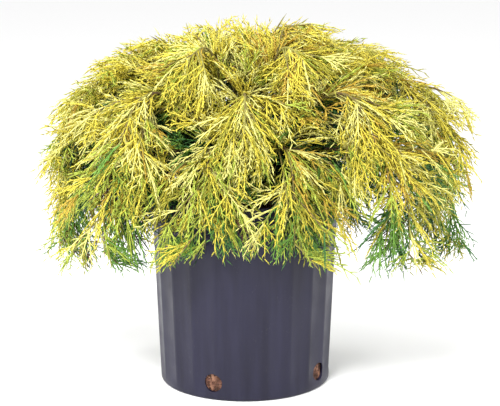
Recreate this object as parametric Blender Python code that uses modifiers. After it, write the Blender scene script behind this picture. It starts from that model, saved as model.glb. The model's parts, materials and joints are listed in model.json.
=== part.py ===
"""A gold mop sawara cypress in its nursery pot: metres, +Z up, the front at -Y.

The origin is the centre of the pot's flat underside. The pot is turned and fluted, the potting
mix fills it, and a short trunk carries tapering boughs. Each bough ends in one mass of
thread-like foliage, which keeps to the space nearer to its own stem than to any other stem.
"""

import math
import random

import bmesh
import bpy
from mathutils import Matrix, Vector
from mathutils.kdtree import KDTree

# Clearance kept between neighbouring pieces
GAP = 0.0003

# Pot
POT_HEIGHT = 0.235
RIM_RADIUS = 0.116
BAND_RADIUS = 0.115
LIP_HEIGHT = 0.0065
GROOVE_HEIGHT = 0.2134
GROOVE_DEPTH = 0.0009
BAND_FOOT = 0.203
WALL_TOP_RADIUS = 0.1122
WALL_FOOT_RADIUS = 0.1040
WALL_FOOT = 0.008
FOOT_RADIUS = 0.102
WALL = 0.002
FLOOR = 0.0025
FLUTES = 22
FLUTE_SIDES = 4
FLUTE_DEPTH = 0.002
FLUTE_TOP = 0.1975
FLUTE_FOOT = 0.018
FIRST_RIDGE = math.radians(-92.7)
HOLE_RADIUS = 0.011
HOLE_HEIGHT = 0.021
HOLE_SIDES = 16
FIRST_HOLE = math.radians(-31.1)
NEXT_HOLE = math.radians(99.7)
HOLE_TURNS = (0.0, NEXT_HOLE, math.pi, math.pi + NEXT_HOLE)

# Potting mix
MIX_STEPS = 36
MIX_EDGE_HEIGHT = 0.2215
MIX_TOP = 0.2270
MIX_FLAT_RADIUS = 0.032
MIX_RINGS = 3
MIX_ROUGHNESS = 0.0012
MIX_CLEARANCE = 0.0005

# Trunk
TRUNK_FOOT = MIX_TOP + GAP
TRUNK_TOP = 0.342
TRUNK_LEAN = Vector((0.012, 0.006, 0.0))
TRUNK_RADIUS = 0.0105
TRUNK_TIP_RADIUS = 0.0046
TRUNK_SIDES = 12
TRUNK_RINGS = 8
FLARE = 0.6
FLARE_HEIGHT = 0.014
FLARE_ROOTS = 4

# Crown: its half widths, measured from the trunk, its widest level, its top and its hem
CROWN_RIGHT, CROWN_LEFT = 0.306, 0.264
CROWN_BACK, CROWN_FRONT = 0.215, 0.160
CROWN_MIDDLE = 0.220
CROWN_TOP = 0.436
HEM_SIDE, HEM_BACK, HEM_FRONT = 0.140, 0.160, 0.176

# Tiers of boughs. Trunk heights and radii are in metres. Each place on the bough and on the
# stem of its mass is a share of the crown's half width and a height above the floor.
TIERS = {
    "skirt": {
        "count": 9, "turn": 0.30, "low": 0.246, "high": 0.286, "base": 0.0042, "tip": 0.0025,
        "bough_tip": (0.50, 0.292), "stem_bend": (0.92, 0.340), "stem_tip": (0.88, 0.156),
    },
    "shoulder": {
        "count": 7, "turn": 0.25, "low": 0.286, "high": 0.308, "base": 0.0036, "tip": 0.0023,
        "bough_tip": (0.40, 0.338), "stem_bend": (0.76, 0.402), "stem_tip": (0.89, 0.285),
    },
    "top": {
        "count": 5, "turn": 0.25, "low": 0.306, "high": 0.328, "base": 0.0024, "tip": 0.0019,
        "bough_tip": (0.25, 0.362), "stem_bend": (0.34, 0.440), "stem_tip": (0.62, 0.375),
    },
}
STAGGER = 3
BOUGH_SIDES = 6
BOUGH_SEGMENTS = 4
BOUGH_RISE = 0.006
INNER_COUNT, INNER_TURN = 3, 0.6
INNER_LOW, INNER_HIGH = 0.240, 0.256
INNER_BEND, INNER_TIP = (0.30, 0.280), (0.46, 0.258)
LEADER_BEND = Vector((0.016, 0.008, 0.400))
LEADER_TIP = Vector((0.050, 0.000, 0.448))

# Foliage: three-sided twigs, and tapering threads that each stand for a spray of real ones
SEED = 7
STEM_RADIUS, STEM_TIP_RADIUS = 0.0024, 0.0013
STEM_SEGMENTS = 4
STEM_LEAD = 0.006
TWIGS = 3
TWIG_RADIUS, TWIG_TIP_RADIUS = 0.0018, 0.0011
TWIG_SEGMENTS = 2
TWIG_LENGTH = 0.070
TWIG_ANGLE = math.radians(46)
THREADS_ON_STEM = 6
THREADS_ON_TWIG = 2
THREAD_LENGTH = 0.060
THREAD_RADIUS = 0.0030
THREAD_ANGLE = math.radians(34)
ROOT_SUNK = 0.0008
DROOP = 10.0
GOLDEN_ANGLE = math.radians(137.5)
TRIES = 8
SPACE_MARGIN = 0.006
LIMB_MARGIN = 0.0035
POT_MARGIN = 0.004
SPACE_SAMPLES = 14

# Colours
POT_COLOUR = (0.030, 0.031, 0.040)
MIX_COLOUR = (0.110, 0.045, 0.025)
BARK_COLOUR = (0.130, 0.062, 0.038)
GOLD_COLOUR = (0.620, 0.520, 0.035)
LIME_COLOUR = (0.330, 0.430, 0.040)
GREEN_COLOUR = (0.050, 0.150, 0.040)


def clear_scene():
    for ob in list(bpy.data.objects):
        bpy.data.objects.remove(ob, do_unlink=True)


def new_collection(name):
    collection = bpy.data.collections.new(name)
    bpy.context.scene.collection.children.link(collection)
    return collection


def make_material(name, colour, roughness):
    material = bpy.data.materials.new(name)
    material.use_nodes = True
    shader = material.node_tree.nodes["Principled BSDF"]
    shader.inputs["Base Color"].default_value = (*colour, 1.0)
    shader.inputs["Roughness"].default_value = roughness
    shader.inputs["Metallic"].default_value = 0.0
    return material


def link_object(name, data, collection):
    ob = bpy.data.objects.new(name, data)
    collection.objects.link(ob)
    return ob


def mark_as_guide(ob):
    ob.hide_render = True
    ob.display_type = "WIRE"


def evaluated_mesh(ob):
    bpy.context.view_layer.update()
    graph = bpy.context.evaluated_depsgraph_get()
    return bpy.data.meshes.new_from_object(ob.evaluated_get(graph))


def apply_modifiers(ob):
    mesh = evaluated_mesh(ob)
    ob.modifiers.clear()
    old, ob.data = ob.data, mesh
    bpy.data.meshes.remove(old)


def close_up(build, mesh):
    """Faces a closed bmesh outwards, writes it to the mesh and frees it."""
    bmesh.ops.recalc_face_normals(build, faces=build.faces)
    if build.calc_volume(signed=True) < 0:
        bmesh.ops.reverse_faces(build, faces=build.faces)
    build.to_mesh(mesh)
    build.free()


def boolean(ob, operation, cutter=None, collection=None):
    modifier = ob.modifiers.new(operation, "BOOLEAN")
    modifier.operation = operation
    if collection:
        modifier.operand_type = "COLLECTION"
        modifier.collection = collection
        modifier.solver = "MANIFOLD"
    else:
        modifier.object = cutter
        modifier.solver = "EXACT"
    apply_modifiers(ob)


def finish(ob, material, sharp_degrees=None):
    ob.data.materials.clear()
    ob.data.materials.append(material)
    if sharp_degrees:
        ob.data.shade_smooth()
        ob.data.set_sharp_from_angle(angle=math.radians(sharp_degrees))


def polar(radius, angle, height):
    return Vector((radius * math.cos(angle), radius * math.sin(angle), height))


def blend(first, last, share):
    return first + (last - first) * share


def bezier(start, bend, end, segments):
    """Points along the arc from start to end that leans towards bend."""
    shares = [i / segments for i in range(segments + 1)]
    return [blend(blend(start, bend, t), blend(bend, end, t), t) for t in shares]


def at_share(points, share):
    """The point and the direction at a share of the way along a line of points."""
    place = share * (len(points) - 1)
    i = min(int(place), len(points) - 2)
    step = points[i + 1] - points[i]
    return points[i] + step * (place - i), step.normalized()


# Pot and potting mix

def turned(name, profile, steps, collection):
    """A solid of revolution. Its profile starts on the axis, inside, and ends there, outside."""
    mesh = bpy.data.meshes.new(name)
    vertices = [(radius, 0.0, height) for radius, height in profile]
    mesh.from_pydata(vertices, [(i, i + 1) for i in range(len(profile) - 1)], [])
    ob = link_object(name, mesh, collection)
    screw = ob.modifiers.new("Turn", "SCREW")
    screw.steps = screw.render_steps = steps
    screw.use_merge_vertices = True
    screw.merge_threshold = 0.00001
    apply_modifiers(ob)
    return ob


def wall_radius(height):
    """Outer radius of the tapering wall."""
    return blend(WALL_FOOT_RADIUS, WALL_TOP_RADIUS, (height - WALL_FOOT) / (BAND_FOOT - WALL_FOOT))


def pot_profile():
    inner_band = BAND_RADIUS - WALL
    inside = [
        (0.0, FLOOR),
        (FOOT_RADIUS - WALL, FLOOR),
        (wall_radius(FLUTE_FOOT) - WALL, FLUTE_FOOT),
        (wall_radius(FLUTE_TOP) - WALL, FLUTE_TOP),
        (inner_band, POT_HEIGHT - WALL / 2),
    ]
    outside = [
        (inner_band + WALL / 3, POT_HEIGHT),
        (RIM_RADIUS - WALL / 3, POT_HEIGHT),
        (RIM_RADIUS, POT_HEIGHT - WALL / 2),
        (RIM_RADIUS, POT_HEIGHT - LIP_HEIGHT),
        (BAND_RADIUS, POT_HEIGHT - LIP_HEIGHT - WALL / 2),
        (BAND_RADIUS, GROOVE_HEIGHT + GROOVE_DEPTH),
        (BAND_RADIUS - GROOVE_DEPTH, GROOVE_HEIGHT),
        (BAND_RADIUS, GROOVE_HEIGHT - GROOVE_DEPTH),
        (BAND_RADIUS, BAND_FOOT + WALL / 2),
        (WALL_TOP_RADIUS, BAND_FOOT),
        (wall_radius(FLUTE_TOP), FLUTE_TOP),
        (wall_radius(FLUTE_FOOT), FLUTE_FOOT),
        (WALL_FOOT_RADIUS, WALL_FOOT),
        (FOOT_RADIUS, 0.0),
        (0.0, 0.0),
    ]
    return inside + outside


def press_flutes(mesh):
    """Presses a shallow hollow between each two ridges, into both faces of the wall."""
    for vertex in mesh.vertices:
        x, y, z = vertex.co
        radius = math.hypot(x, y)
        if not FLUTE_FOOT - GAP < z < FLUTE_TOP + GAP or radius < FOOT_RADIUS / 2:
            continue
        turn = (math.atan2(y, x) - FIRST_RIDGE) * FLUTES / math.tau % 1.0
        kept = 1 - FLUTE_DEPTH * (1 - (2 * turn - 1) ** 2) / radius
        vertex.co = (x * kept, y * kept, z)


def hole_cutter(name, angle, collection):
    """A cylinder that lies along the pot's radius, through the foot of its wall."""
    mesh = bpy.data.meshes.new(name)
    build = bmesh.new()
    bmesh.ops.create_cone(
        build, cap_ends=True, segments=HOLE_SIDES, radius1=HOLE_RADIUS, radius2=HOLE_RADIUS,
        depth=8 * WALL,
    )
    build.to_mesh(mesh)
    build.free()
    cutter = link_object(name, mesh, collection)
    cutter.location = polar(wall_radius(HOLE_HEIGHT) - WALL, angle, HOLE_HEIGHT)
    cutter.rotation_euler = (0.0, math.pi / 2, angle)
    mark_as_guide(cutter)
    return cutter


def make_pot(parts, guides):
    pot = turned("pot", pot_profile(), FLUTES * FLUTE_SIDES, parts)
    pot.data.transform(Matrix.Rotation(FIRST_RIDGE, 4, "Z"))
    press_flutes(pot.data)
    for number, turn in enumerate(HOLE_TURNS, 1):
        boolean(pot, "DIFFERENCE", hole_cutter(f"drain_cutter_{number}", FIRST_HOLE + turn, guides))
    finish(pot, make_material("pot plastic", POT_COLOUR, 0.38), 40)


def mix_radius(height):
    """Radius of the mix: just inside the hollows of the flutes, then up to the pot's lip."""
    hollow = wall_radius(min(height, FLUTE_TOP)) - WALL - FLUTE_DEPTH
    share = max(0.0, height - FLUTE_TOP) / (POT_HEIGHT - WALL / 2 - FLUTE_TOP)
    return blend(hollow, BAND_RADIUS - WALL, share) - MIX_CLEARANCE


def make_mix(parts):
    """The potting mix fills the pot and is mounded up to the trunk."""
    profile = [(0.0, MIX_TOP)]
    for ring in range(MIX_RINGS + 1):
        share = ring / MIX_RINGS
        radius = blend(MIX_FLAT_RADIUS, mix_radius(MIX_EDGE_HEIGHT), share)
        profile.append((radius, blend(MIX_TOP, MIX_EDGE_HEIGHT, share**2)))
    profile += [(mix_radius(height), height) for height in (FLUTE_TOP, FLUTE_FOOT)]
    profile += [(FOOT_RADIUS - WALL - MIX_CLEARANCE, FLOOR + GAP), (0.0, FLOOR + GAP)]
    mix = turned("potting_mix", profile, MIX_STEPS, parts)
    rough = random.Random(SEED)
    for vertex in mix.data.vertices:
        x, y, z = vertex.co
        if z > MIX_EDGE_HEIGHT + GAP and math.hypot(x, y) > MIX_FLAT_RADIUS + GAP:
            vertex.co.z += rough.uniform(-MIX_ROUGHNESS, MIX_ROUGHNESS)
    finish(mix, make_material("bark mix", MIX_COLOUR, 0.95))


# Tubes

class Tubes:
    """Tapering tubes: poly curves on a regular outline, turned into closed meshes."""

    def __init__(self, guides):
        self.guides = guides
        self.outlines = {}

    def outline(self, sides):
        if sides not in self.outlines:
            curve = bpy.data.curves.new(f"outline_{sides}", "CURVE")
            spline = curve.splines.new("POLY")
            spline.points.add(sides - 1)
            for i, point in enumerate(spline.points):
                point.co = (*polar(1.0, math.tau * i / sides, 0.0), 1.0)
            spline.use_cyclic_u = True
            self.outlines[sides] = link_object(curve.name, curve, self.guides)
            mark_as_guide(self.outlines[sides])
        return self.outlines[sides]

    def make(self, name, points, radii, sides, collection):
        curve = bpy.data.curves.new(name, "CURVE")
        curve.dimensions = "3D"
        curve.bevel_mode = "OBJECT"
        curve.bevel_object = self.outline(sides)
        curve.use_fill_caps = True
        spline = curve.splines.new("POLY")
        spline.points.add(len(points) - 1)
        for point, place, radius in zip(spline.points, points, radii):
            point.co = (*place, 1.0)
            point.radius = radius
        tube = link_object(name, curve, collection)
        mesh = evaluated_mesh(tube)
        bpy.data.curves.remove(curve)
        build = bmesh.new()
        build.from_mesh(mesh)
        bmesh.ops.remove_doubles(build, verts=build.verts, dist=0.00001)
        close_up(build, mesh)
        return link_object(name, mesh, collection)


def taper(first, last, count):
    return [blend(first, last, i / (count - 1)) for i in range(count)]


# Trunk and boughs

def trunk_axis(share):
    """A point on the trunk's axis. It rises straight from the mix and then leans."""
    return Vector((0, 0, blend(TRUNK_FOOT, TRUNK_TOP, share))) + TRUNK_LEAN * share**2


def trunk_at(height):
    return trunk_axis((height - TRUNK_FOOT) / (TRUNK_TOP - TRUNK_FOOT))


def make_trunk(name, tubes, collection, extra=0.0):
    """The trunk, or with extra its cutter, which is fatter by that all round."""
    shares = [(i / (TRUNK_RINGS - 1)) ** 1.5 for i in range(TRUNK_RINGS)]
    radii = [blend(TRUNK_RADIUS, TRUNK_TIP_RADIUS, share) + extra for share in shares]
    points = [trunk_axis(share) for share in shares]
    trunk = tubes.make(name, points, radii, TRUNK_SIDES, collection)
    for vertex in trunk.data.vertices:
        x, y, z = vertex.co
        if z < TRUNK_FOOT + radii[0] / 10:
            vertex.co.z = z = TRUNK_FOOT
        lobe = 0.6 + 0.4 * math.cos(FLARE_ROOTS * math.atan2(y, x))
        flare = 1 + FLARE * lobe * math.exp((TRUNK_FOOT - z) / FLARE_HEIGHT)
        axis = trunk_at(z)
        vertex.co.x = axis.x + (x - axis.x) * flare
        vertex.co.y = axis.y + (y - axis.y) * flare
    return trunk


def crown_radius(angle):
    """The crown's half width towards an angle."""
    across = CROWN_RIGHT if math.cos(angle) > 0 else CROWN_LEFT
    deep = CROWN_BACK if math.sin(angle) > 0 else CROWN_FRONT
    return 1 / math.hypot(math.cos(angle) / across, math.sin(angle) / deep)


def hem_height(angle):
    """How low the crown hangs towards an angle."""
    end = HEM_BACK if math.sin(angle) > 0 else HEM_FRONT
    return blend(HEM_SIDE, end, math.sin(angle) ** 2)


def in_crown(point):
    angle = math.atan2(point.y, point.x)
    out = math.hypot(point.x, point.y) / crown_radius(angle)
    up = max(0.0, point.z - CROWN_MIDDLE) / (CROWN_TOP - CROWN_MIDDLE)
    return math.hypot(out, up) < 1 and point.z > hem_height(angle)


def crown_place(share_and_height, angle):
    share, height = share_and_height
    return polar(share * crown_radius(angle), angle, height)


def tier_limbs(name, tier):
    """For each bough of a tier: its name, its points and the points of its mass's stem."""
    limbs = []
    for i in range(tier["count"]):
        angle = math.tau * (i + tier["turn"]) / tier["count"]
        rank = i * STAGGER % tier["count"] / (tier["count"] - 1)
        start = trunk_at(blend(tier["low"], tier["high"], rank))
        tip = crown_place(tier["bough_tip"], angle)
        bend = blend(start, tip, 0.5) + Vector((0, 0, BOUGH_RISE))
        bough = bezier(start, bend, tip, BOUGH_SEGMENTS)
        stem_tip = crown_place(tier["stem_tip"], angle)
        stem_tip.z += hem_height(angle) - HEM_SIDE
        stem = stem_from(bough, crown_place(tier["stem_bend"], angle), stem_tip)
        limbs.append((f"{name}_{i + 1}", bough, stem))
    return limbs


def stem_from(limb, bend, tip):
    """A mass's stem goes straight on from the end of its limb, a gap away, and then arches."""
    way = (limb[-1] - limb[-2]).normalized()
    start = limb[-1] + way * GAP
    return [start] + bezier(start + way * STEM_LEAD, bend, tip, STEM_SEGMENTS)


# Masses of foliage

class Spaces:
    """Which mass a place belongs to: the one whose stem is nearest, clear of limbs and pot."""

    def __init__(self, stems, limbs):
        self.stems = [self.tree(stem, SPACE_SAMPLES) for stem in stems]
        self.limbs = [(self.tree(points, SPACE_SAMPLES), radius) for points, radius in limbs]

    @staticmethod
    def tree(points, samples):
        tree = KDTree(samples + 1)
        for i in range(samples + 1):
            tree.insert(at_share(points, i / samples)[0], i)
        tree.balance()
        return tree

    def hold(self, number, point):
        if not in_crown(point):
            return False
        if math.hypot(point.x, point.y) < RIM_RADIUS + POT_MARGIN and point.z < POT_HEIGHT + POT_MARGIN:
            return False
        reach = self.stems[number].find(point)[2] + SPACE_MARGIN
        if any(tree.find(point)[2] < reach for i, tree in enumerate(self.stems) if i != number):
            return False
        return all(tree.find(point)[2] > radius + LIMB_MARGIN for tree, radius in self.limbs)


def heading(way, angle, roll):
    """A direction that leaves way by an angle, rolled about it from its level side."""
    side = way.cross(Vector((0.15, 0.1, 1.0))).normalized()
    up = side.cross(way)
    return way * math.cos(angle) + (side * math.cos(roll) + up * math.sin(roll)) * math.sin(angle)


def drooping(root, way, length, segments):
    """Points from a root along a line that starts one way and is weighed down."""
    points = [root]
    step = length / segments
    for _ in range(segments):
        points.append(points[-1] + way * step)
        way = (way + Vector((0, 0, -1)) * DROOP * step).normalized()
    return points


def thread_mesh(name, root, tip):
    """A three-sided thread that tapers from its sunk root to its tip."""
    way = (tip - root).normalized()
    root = root - way * ROOT_SUNK
    build = bmesh.new()
    bmesh.ops.create_cone(
        build, cap_ends=True, segments=3, radius1=THREAD_RADIUS, radius2=0.0,
        depth=(tip - root).length,
        matrix=Matrix.Translation((root + tip) / 2) @ way.to_track_quat("Z", "Y").to_matrix().to_4x4(),
    )
    bmesh.ops.remove_doubles(build, verts=build.verts, dist=0.00001)
    mesh = bpy.data.meshes.new(name)
    close_up(build, mesh)
    return mesh


class Mass:
    """One mass: a stem, twigs off it, and threads off both, joined into one solid."""

    def __init__(self, number, name, stem, spaces, tubes, pieces):
        self.number, self.name, self.stem = number, name, stem
        self.spaces, self.tubes, self.pieces = spaces, tubes, pieces
        self.draw = random.Random(SEED * 100 + number)

    def line_in_space(self, parent, share, angle, length, segments, roll):
        """The first drooping line from the parent that stays in this mass's space, or None."""
        root, way = at_share(parent, share)
        for attempt in range(TRIES):
            way_out = heading(way, angle, roll + attempt * GOLDEN_ANGLE)
            tried = length * self.draw.uniform(0.85, 1.15) * (1 - 0.06 * attempt)
            line = drooping(root, way_out, tried, segments)
            places = [at_share(line, k / 4)[0] for k in (2, 3, 4)]
            if all(self.spaces.hold(self.number, place) for place in places):
                return line
        return None

    def add_thread(self, parent, share, angle, roll):
        line = self.line_in_space(parent, share, angle, THREAD_LENGTH, 1, roll)
        if line:
            name = f"{self.name}_thread"
            link_object(name, thread_mesh(name, *line), self.pieces)

    def add_twig(self, share, roll):
        length = TWIG_LENGTH * (1.15 - 0.4 * share)
        line = self.line_in_space(self.stem, share, TWIG_ANGLE, length, TWIG_SEGMENTS, roll)
        if not line:
            return
        radii = taper(TWIG_RADIUS, TWIG_TIP_RADIUS, len(line))
        self.tubes.make(f"{self.name}_twig", line, radii, 3, self.pieces)
        for i in range(THREADS_ON_TWIG):
            place = blend(0.40, 0.85, i / (THREADS_ON_TWIG - 1))
            self.add_thread(line, place, THREAD_ANGLE, i * GOLDEN_ANGLE + roll)
        self.add_thread(line, 0.97, 0.1, roll)

    def build(self, parts, material, cutter=None):
        radii = taper(STEM_RADIUS, STEM_TIP_RADIUS, len(self.stem))
        mass = self.tubes.make(self.name, self.stem, radii, 3, parts)
        for i in range(TWIGS):
            self.add_twig(blend(0.16, 0.82, i / (TWIGS - 1)), i * GOLDEN_ANGLE)
        for i in range(THREADS_ON_STEM):
            place = blend(0.30, 0.92, i / (THREADS_ON_STEM - 1))
            self.add_thread(self.stem, place, THREAD_ANGLE, i * GOLDEN_ANGLE + 1)
        self.add_thread(self.stem, 0.98, 0.1, 0.0)
        boolean(mass, "UNION", collection=self.pieces)
        if cutter:
            boolean(mass, "DIFFERENCE", cutter)
        for piece in list(self.pieces.objects):
            bpy.data.objects.remove(piece, do_unlink=True)
        finish(mass, material)


def main():
    clear_scene()
    parts = new_collection("potted gold mop cypress")
    guides = new_collection("cutters and guides")
    pieces = new_collection("pieces of a mass")
    tubes = Tubes(guides)

    make_pot(parts, guides)
    make_mix(parts)
    bark = make_material("bark", BARK_COLOUR, 0.85)
    finish(make_trunk("trunk", tubes, parts), bark, 50)
    cutter = make_trunk("trunk_cutter", tubes, guides, GAP)
    mark_as_guide(cutter)

    trunk_line = [trunk_axis(i / TRUNK_RINGS) for i in range(TRUNK_RINGS + 1)]
    limbs = [(trunk_line, TRUNK_RADIUS)]
    masses = []
    colours = {"skirt": LIME_COLOUR, "shoulder": GOLD_COLOUR, "top": GOLD_COLOUR}
    for tier_name, tier in TIERS.items():
        material = make_material(f"{tier_name} foliage", colours[tier_name], 0.6)
        for name, bough_points, stem in tier_limbs(tier_name, tier):
            radii = taper(tier["base"], tier["tip"], len(bough_points))
            bough = tubes.make(f"bough_{name}", bough_points, radii, BOUGH_SIDES, parts)
            boolean(bough, "DIFFERENCE", cutter)
            finish(bough, bark, 50)
            limbs.append((bough_points, tier["base"]))
            masses.append((f"mass_{name}", stem, material, None))

    leader = stem_from(trunk_line, LEADER_BEND, LEADER_TIP)
    masses.append(("mass_leader", leader, masses[-1][2], None))
    inner_green = make_material("inner foliage", GREEN_COLOUR, 0.6)
    for i in range(INNER_COUNT):
        angle = math.tau * (i + INNER_TURN) / INNER_COUNT
        start = trunk_at(blend(INNER_LOW, INNER_HIGH, i / (INNER_COUNT - 1)))
        bend, tip = crown_place(INNER_BEND, angle), crown_place(INNER_TIP, angle)
        stem = bezier(start, bend, tip, STEM_SEGMENTS)
        masses.append((f"mass_inner_{i + 1}", stem, inner_green, cutter))

    spaces = Spaces([stem for _, stem, _, _ in masses], limbs)
    for number, (name, stem, material, mass_cutter) in enumerate(masses):
        mass = Mass(number, name, stem, spaces, tubes, pieces)
        mass.build(parts, material, mass_cutter)
    bpy.data.collections.remove(pieces)


main()
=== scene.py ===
"""The looks of a gold mop sawara cypress in its nursery pot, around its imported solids.

Metres, +Z up, the front at -Y. The trunk, the boughs and the stems of the foliage masses follow
the same rule as the solids, and grow on here into finer twigs and sprays of thread-like shoots.
"""

import json
import math
import random
from collections import namedtuple

import bmesh
import bpy
import numpy as np
from mathutils import Matrix, Vector, noise
from mathutils.kdtree import KDTree

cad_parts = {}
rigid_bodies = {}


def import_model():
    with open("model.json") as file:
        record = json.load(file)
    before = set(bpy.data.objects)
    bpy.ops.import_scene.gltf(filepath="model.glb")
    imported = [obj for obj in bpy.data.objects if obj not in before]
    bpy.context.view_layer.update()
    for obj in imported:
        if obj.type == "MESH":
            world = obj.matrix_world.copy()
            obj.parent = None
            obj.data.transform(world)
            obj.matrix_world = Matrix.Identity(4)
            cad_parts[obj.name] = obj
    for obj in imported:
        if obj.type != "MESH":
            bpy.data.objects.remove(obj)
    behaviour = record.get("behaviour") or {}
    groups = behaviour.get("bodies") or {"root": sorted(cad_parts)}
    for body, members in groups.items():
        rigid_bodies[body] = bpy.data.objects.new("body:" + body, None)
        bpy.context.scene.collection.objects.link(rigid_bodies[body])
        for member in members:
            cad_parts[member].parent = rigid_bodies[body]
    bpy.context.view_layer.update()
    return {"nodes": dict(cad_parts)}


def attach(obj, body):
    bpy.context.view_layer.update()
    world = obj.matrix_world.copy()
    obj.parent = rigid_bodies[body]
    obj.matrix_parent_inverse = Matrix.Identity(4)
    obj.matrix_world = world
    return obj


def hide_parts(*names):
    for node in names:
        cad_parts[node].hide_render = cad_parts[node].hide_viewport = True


SEED, SEED_STEP = 7, 100

# Pot, as in the solids
POT_HEIGHT = 0.235
RIM_RADIUS = 0.116
BAND_RADIUS = 0.115
LIP_HEIGHT = 0.0065
GROOVE_HEIGHT = 0.2134
GROOVE_DEPTH = 0.0009
BAND_FOOT = 0.203
WALL_TOP_RADIUS = 0.1122
WALL_FOOT_RADIUS = 0.1040
WALL_FOOT = 0.008
FOOT_RADIUS = 0.102
WALL = 0.002
FLOOR = 0.0025
FLUTES = 22
FLUTE_DEPTH = 0.002
FLUTE_TOP = 0.1985
FLUTE_FOOT = 0.018
FIRST_RIDGE = math.radians(-92.7)
HOLE_RADIUS = 0.011
HOLE_HEIGHT = 0.021
FIRST_HOLE = math.radians(-31.1)
NEXT_HOLE = math.radians(99.7)
HOLE_TURNS = (0.0, NEXT_HOLE, math.pi, math.pi + NEXT_HOLE)

# Pot, finer than in the solids
FLUTE_STEPS = 12
FLUTE_ARCH = 0.0045
FLUTE_LEDGE = 0.0030
WALL_LEVELS = 20
ARCH_LEVELS = 12
ARCH_MARGIN = 0.0015
LIP_ROUND = 0.0014
LIP_UNDERCUT = 0.0008
GROOVE_OUT = 0.0002
BAND_ROUND = 0.001
FOOT_ROUND = 0.0035
FOOT_TUCK = 0.0015
INNER_ROUND = 0.004
INNER_BAND_RISE = 0.003
LEVELS_PER_INNER_LEVEL = 4
HOLE_SEGMENTS = 40
POT_SHARP_DEGREES = 35

# Trunk and boughs, as in the solids
GAP = 0.0003
MIX_TOP = 0.2270
TRUNK_FOOT = MIX_TOP + GAP
TRUNK_TOP = 0.342
TRUNK_LEAN = Vector((0.012, 0.006, 0.0))
TRUNK_RADIUS = 0.0105
TRUNK_TIP_RADIUS = 0.0046
FLARE = 0.6
FLARE_HEIGHT = 0.014
FLARE_ROOTS = 4
CROWN_RIGHT, CROWN_LEFT = 0.306, 0.264
CROWN_BACK, CROWN_FRONT = 0.215, 0.160
CROWN_MIDDLE = 0.220
CROWN_TOP = 0.436
HEM_SIDE, HEM_BACK, HEM_FRONT = 0.140, 0.160, 0.176

# Tiers of boughs, from the hem up: how many, how far the first is turned, the heights on the trunk
# between which they start, and their radii. Pairs are a share of the crown's radius and a height.
# The droop is how much a shoot's direction is pulled down per metre.
DROOP, TOP_DROOP = 10.0, 4.0
TIERS = {
    "skirt": {
        "count": 9, "turn": 0.30, "low": 0.246, "high": 0.286, "base": 0.0042, "tip": 0.0025,
        "bough_tip": (0.50, 0.292), "stem_bend": (0.92, 0.340), "stem_tip": (0.88, 0.156),
        "droop": DROOP,
    },
    "shoulder": {
        "count": 7, "turn": 0.25, "low": 0.286, "high": 0.308, "base": 0.0036, "tip": 0.0023,
        "bough_tip": (0.40, 0.338), "stem_bend": (0.76, 0.402), "stem_tip": (0.89, 0.285),
        "droop": DROOP,
    },
    "top": {
        "count": 5, "turn": 0.25, "low": 0.306, "high": 0.328, "base": 0.0024, "tip": 0.0019,
        "bough_tip": (0.25, 0.362), "stem_bend": (0.34, 0.440), "stem_tip": (0.62, 0.375),
        "droop": TOP_DROOP,
    },
}
STAGGER = 3
BOUGH_RISE = 0.006

# Stems of the masses inside the crown and of the one on the trunk's tip
INNER_COUNT, INNER_TURN = 3, 0.6
INNER_LOW, INNER_HIGH = 0.240, 0.256
INNER_BEND, INNER_TIP = (0.30, 0.280), (0.46, 0.258)
LEADER_BEND = Vector((0.016, 0.008, 0.400))
LEADER_TIP = Vector((0.050, 0.000, 0.448))
LEADER_LIMB_POINTS = 5
STEM_LEAD = 0.006
STEM_SEGMENTS = 12

# Bark relief, as a share of the limb's radius. The grain is closer round a limb than along it.
TRUNK_SIDES, BOUGH_SIDES = 28, 14
BARK_STEP, BARK_LEAST_RINGS = 0.0025, 6
BARK_RELIEF, FINE_RELIEF = 0.13, 0.4
GRAIN_ROUND, GRAIN_ALONG, GRAIN_APART = 2.6, 35, 90
FINE_GRAIN = 2.7
ROOT_LOBE = 0.4
NEAR_BACK = Vector((0.2, 1.0, 0.1))

# Bark chips: pairs are the least and the most of a range, and spreads are of a normal curve
MIX_EDGE_HEIGHT = 0.2215
MIX_FLAT_RADIUS = 0.032
CHIPS, CHIPS_IN_HOLE = 1500, 26
CHIP_SIDES = 6
CHIP_LENGTH = (0.005, 0.017)
CHIP_WIDTH = (0.003, 0.007)
CHIP_THICKNESS = (0.0010, 0.0024)
CHIP_JAG = (0.70, 1.15)
CHIP_TAPER, CHIP_UNEVENNESS = 0.12, 0.25
CHIP_REACH = 0.1085
CHIP_CLEARANCE = 2.2 * TRUNK_RADIUS
CHIP_LIFT = (-0.0005, 0.0022)
CHIP_ROLL_SPREAD, CHIP_PITCH_SPREAD = 0.35, 0.28
HOLE_CHIP_RADIUS = 0.0996
HOLE_CHIP_TURN = 0.11
HOLE_CHIP_SPREAD = 0.25
HOLE_CHIP_SCALE = 0.8
CHIP_SHARP_DEGREES = 30

# Where foliage may be
SPACE_SAMPLES = 16
CROWN_PLAY = 1.04
SPACE_PLAY = 0.035
REACH_LOW = Vector((-0.250, -0.165, 0.138))
REACH_HIGH = Vector((0.288, 0.208, 0.450))
LIMB_MARGIN = 0.0015
POT_MARGIN = 0.0025

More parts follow.
